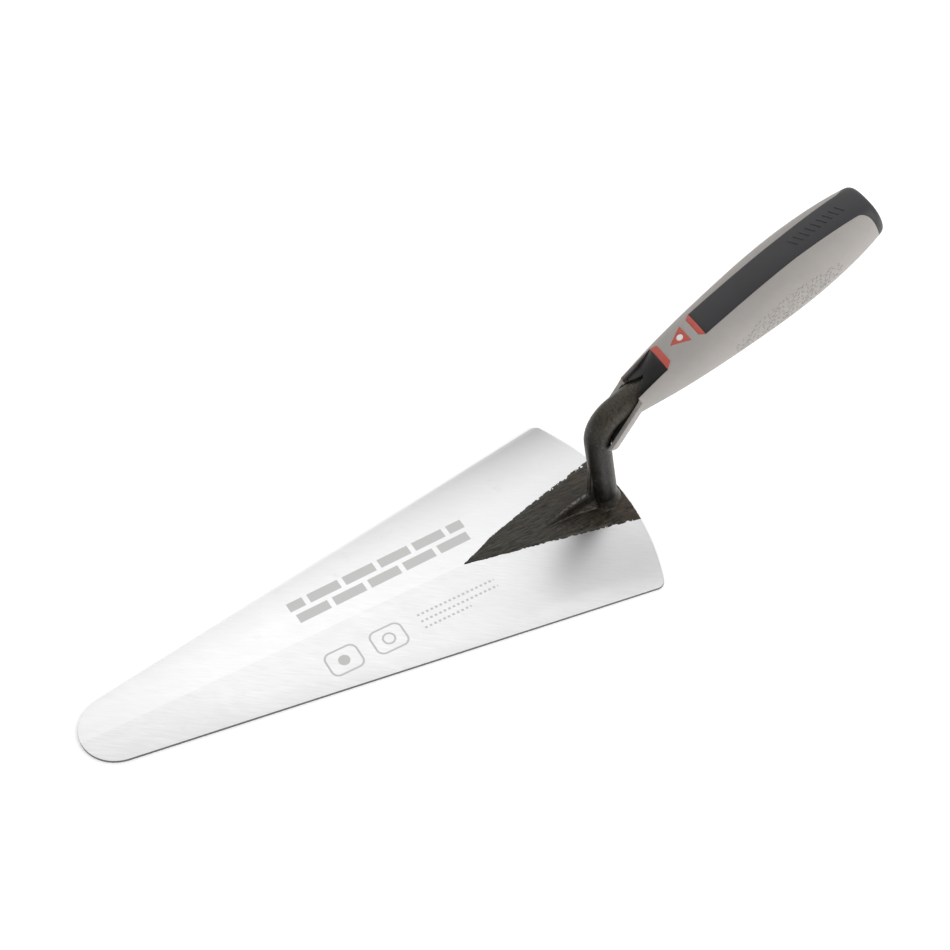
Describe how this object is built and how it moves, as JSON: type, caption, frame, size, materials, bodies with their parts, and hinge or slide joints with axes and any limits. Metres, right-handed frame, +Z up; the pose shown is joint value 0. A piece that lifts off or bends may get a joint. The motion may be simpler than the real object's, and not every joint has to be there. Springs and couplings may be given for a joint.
{
  "type": "brick trowel",
  "caption": "Bricklayer's trowel: tapered flat steel blade with a rounded nose, cranked round shank forged in one with it, and a raised moulded soft grip.",
  "frame": {"origin": "on the flat underside of the blade, on its centreline, under the foot of the shank", "axes": "+X along the blade's centreline from the nose past the heel towards the butt of the grip, +Y to the left of someone looking along +X, +Z up away from the blade"},
  "size_m": [0.3793, 0.1056, 0.127],
  "materials": {
    "ground_steel": "ground and lightly polished blade; dark forge scale left on the boss and shank",
    "core_black": "moulded hard plastic, fine satin texture",
    "skin_grey": "soft thermoplastic rubber skin, matt",
    "strip_black": "moulded plastic, satin",
    "inlay_red": "moulded plastic, satin",
    "emblem_white": "printed plastic, satin"
  },
  "bodies": {
    "root": {"forged_blade": "ground_steel", "handle_core": "core_black", "grip_shell": "skin_grey", "spine_strip": "strip_black", "front_band": "inlay_red", "rear_band": "inlay_red", "badge": "inlay_red", "badge_emblem": "emblem_white"}
  },
  "joints": []
}
